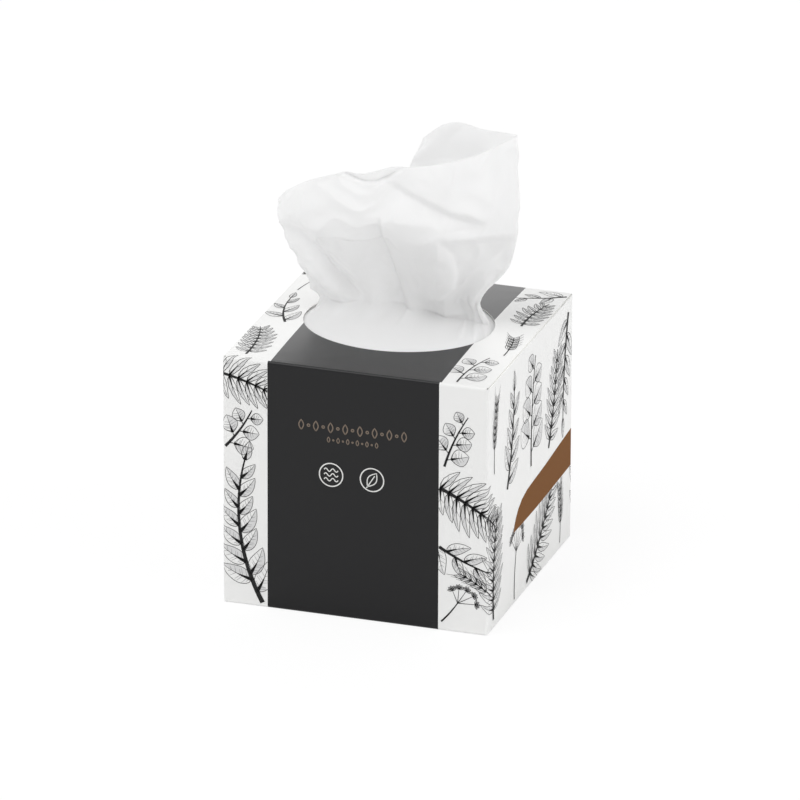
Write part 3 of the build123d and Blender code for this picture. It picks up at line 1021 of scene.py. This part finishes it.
class TISSUEBOX_OT_sheet(bpy.types.Operator):
    """Builds the sheet that stands in the mouth, with its folds and the part of it that lies on the pile"""

    bl_idname = "tissuebox.sheet"
    bl_label = "Standing sheet"

    columns: bpy.props.IntProperty(name="Columns", description="Cells along the sheet", default=260, min=40)
    rows: bpy.props.IntProperty(name="Rows", description="Cells up the sheet", default=150, min=20)
    lying_share: bpy.props.FloatProperty(
        name="Lying share", description="Share of the rows that lies on the pile", default=0.2, min=0.05,
        max=0.5)

    def execute(self, context):
        settings = context.scene.tissue_box.tissue
        shape = bmesh.new()
        bmesh.ops.create_grid(shape, x_segments=self.columns, y_segments=self.rows, size=0.5)
        for point in shape.verts:
            point.co = self.place(point.co.x + 0.5, point.co.y + 0.5) * MM
        for face in shape.faces:
            face.smooth = True
        mesh = bpy.data.meshes.new("standing_sheet")
        shape.to_mesh(mesh)
        shape.free()
        paper = creped_tissue("creped tissue of one sheet", settings.paper, share_through=0.5)
        piece = new_piece("standing_sheet", mesh, [paper], "top_tissue")
        body = piece.modifiers.new("three plies", "SOLIDIFY")
        body.thickness = settings.thickness
        body.offset = 0
        return {"FINISHED"}

    def place(self, along, share):
        """The place on the sheet at a share of the way along it and up it."""
        if share < self.lying_share:
            return lying_place(1 - share / self.lying_share, along)
        rise = (share - self.lying_share) / (1 - self.lying_share)
        return standing_place(rise, along)


class TISSUEBOX_OT_stage(bpy.types.Operator):
    """Sets the white floor, the soft studio light and the long-lens camera"""

    bl_idname = "tissuebox.stage"
    bl_label = "Floor, light and camera"

    def execute(self, context):
        settings = context.scene.tissue_box.stage
        self.set_floor(settings)
        self.set_room(context.scene, settings)
        self.set_lamp("key lamp", (-0.9, -1.3, 3.2), side=2.2, power=settings.key_strength)
        self.set_lamp("fill lamp", (2.7, -0.3, 1.3), side=1.8, power=settings.fill_strength)
        self.set_lamp("back lamp", (-0.75, 2.83, 1.0), side=2.2, power=settings.back_strength)
        self.set_camera(context.scene, settings)
        context.scene.view_settings.view_transform = "Standard"
        return {"FINISHED"}

    def set_floor(self, settings):
        """A pale floor that the camera sees as white, with the box's shadow still on it."""
        floor_radius, share_glowing = 4, 0.85
        shape = bmesh.new()
        bmesh.ops.create_circle(shape, cap_ends=True, segments=96, radius=floor_radius)
        mesh = bpy.data.meshes.new("floor")
        shape.to_mesh(mesh)
        shape.free()
        floor = bpy.data.objects.new("floor", mesh)
        bpy.context.scene.collection.objects.link(floor)
        material, tree = new_material("white floor")
        paint = add_node(tree, "ShaderNodeBsdfDiffuse", {"Color": (*settings.floor, 1)})
        glow = add_node(tree, "ShaderNodeEmission", {"Color": (1, 1, 1, 1), "Strength": 1})
        seen = self.is_seen(tree, "Is Camera Ray", "Is Transmission Ray")
        glowing = add_node(tree, "ShaderNodeMath", {0: seen, 1: share_glowing}, operation="MULTIPLY")
        mixed = add_node(tree, "ShaderNodeMixShader", {
            "Fac": glowing.outputs["Value"], 1: paint.outputs["BSDF"], 2: glow.outputs["Emission"]})
        set_surface(tree, mixed.outputs["Shader"])
        mesh.materials.append(material)

    def is_seen(self, tree, *kinds):
        """1 for rays of the kinds, by which the eye sees, and 0 for light that falls on things."""
        path = add_node(tree, "ShaderNodeLightPath")
        seen = path.outputs[kinds[0]]
        for kind in kinds[1:]:
            either = add_node(tree, "ShaderNodeMath", {0: seen, 1: path.outputs[kind]}, operation="MAXIMUM")
            seen = either.outputs["Value"]
        return seen

    def set_room(self, scene, settings):
        """A white room that lights everything softly and is plain white behind the box."""
        world = bpy.data.worlds.new("white room")
        world.use_nodes = True
        tree = world.node_tree
        tree.nodes.clear()
        white = (1, 1, 1, 1)
        light = add_node(tree, "ShaderNodeBackground", {"Color": white, "Strength": settings.room_strength})
        backdrop = add_node(tree, "ShaderNodeBackground", {"Color": white, "Strength": 1})
        mixed = add_node(tree, "ShaderNodeMixShader", {
            "Fac": self.is_seen(tree, "Is Camera Ray", "Is Glossy Ray", "Is Transmission Ray"),
            1: light.outputs["Background"], 2: backdrop.outputs["Background"]})
        add_node(tree, "ShaderNodeOutputWorld", {"Surface": mixed.outputs["Shader"]})
        scene.world = world

    def set_lamp(self, name, place, side, power):
        """A large square lamp that looks at the middle of the box's top."""
        light = bpy.data.lights.new(name, "AREA")
        light.shape = "SQUARE"
        light.size = side
        light.energy = power
        lamp = bpy.data.objects.new(name, light)
        bpy.context.scene.collection.objects.link(lamp)
        aim = Vector((0, 0, HEIGHT * MM))
        lamp.location = place
        lamp.rotation_euler = (aim - Vector(place)).to_track_quat("-Z", "Y").to_euler()

    def set_camera(self, scene, settings):
        """The photograph's view: from the right of the front and from above, through a very long lens."""
        turn, tilt, roll = 0.3178367, 0.378862, 0.00344438  # radians, fitted to the carton's corners
        aim_right, aim_up = 0.68 * MM, 67.51 * MM  # the picture's middle, beside and above the frame's origin
        back = Vector((sin(turn) * cos(tilt), -cos(turn) * cos(tilt), sin(tilt)))
        level = Vector((cos(turn), sin(turn), 0))
        upright = back.cross(level)
        right = cos(roll) * level + sin(roll) * upright
        up = back.cross(right)
        camera_data = bpy.data.cameras.new("camera")
        camera_data.lens = settings.lens
        camera_data.clip_end = 20  # past the floor's edge
        camera = bpy.data.objects.new("camera", camera_data)
        scene.collection.objects.link(camera)
        facing = Matrix((right, up, back)).transposed().to_4x4()
        place = right * aim_right + up * aim_up + back * settings.distance
        camera.matrix_world = Matrix.Translation(place) @ facing
        scene.camera = camera


class TISSUEBOX_PT_panel(bpy.types.Panel):
    """Lists the tissue box's settings and the pieces in the order in which they are built"""

    bl_idname = "TISSUEBOX_PT_panel"
    bl_label = "Tissue box"
    bl_space_type = "VIEW_3D"
    bl_region_type = "UI"
    bl_category = "Tissue box"

    def draw(self, context):
        settings = context.scene.tissue_box
        for group in (settings.carton, settings.tissue, settings.stage):
            box = self.layout.box()
            for name in group.__annotations__:
                box.prop(group, name)
        for step in BUILD_STEPS:
            self.layout.operator(step.bl_idname)


BUILD_STEPS = (
    TISSUEBOX_OT_carton, TISSUEBOX_OT_print, TISSUEBOX_OT_ornament, TISSUEBOX_OT_pile, TISSUEBOX_OT_sheet,
    TISSUEBOX_OT_stage,
)
CLASSES = (
    CartonSettings, TissueSettings, StageSettings, TissueBoxSettings, *BUILD_STEPS, TISSUEBOX_PT_panel,
)


def register():
    """Makes the settings, the operators and the panel known to Blender."""
    for item in CLASSES:
        bpy.utils.register_class(item)
    bpy.types.Scene.tissue_box = bpy.props.PointerProperty(type=TissueBoxSettings)


def unregister():
    """Takes the add-on out of Blender again."""
    del bpy.types.Scene.tissue_box
    for item in reversed(CLASSES):
        bpy.utils.unregister_class(item)


def main():
    """Registers the add-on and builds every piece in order."""
    register()
    for step in BUILD_STEPS:
        group, name = step.bl_idname.split(".")
        getattr(getattr(bpy.ops, group), name)()


if __name__ == "__main__":
    main()
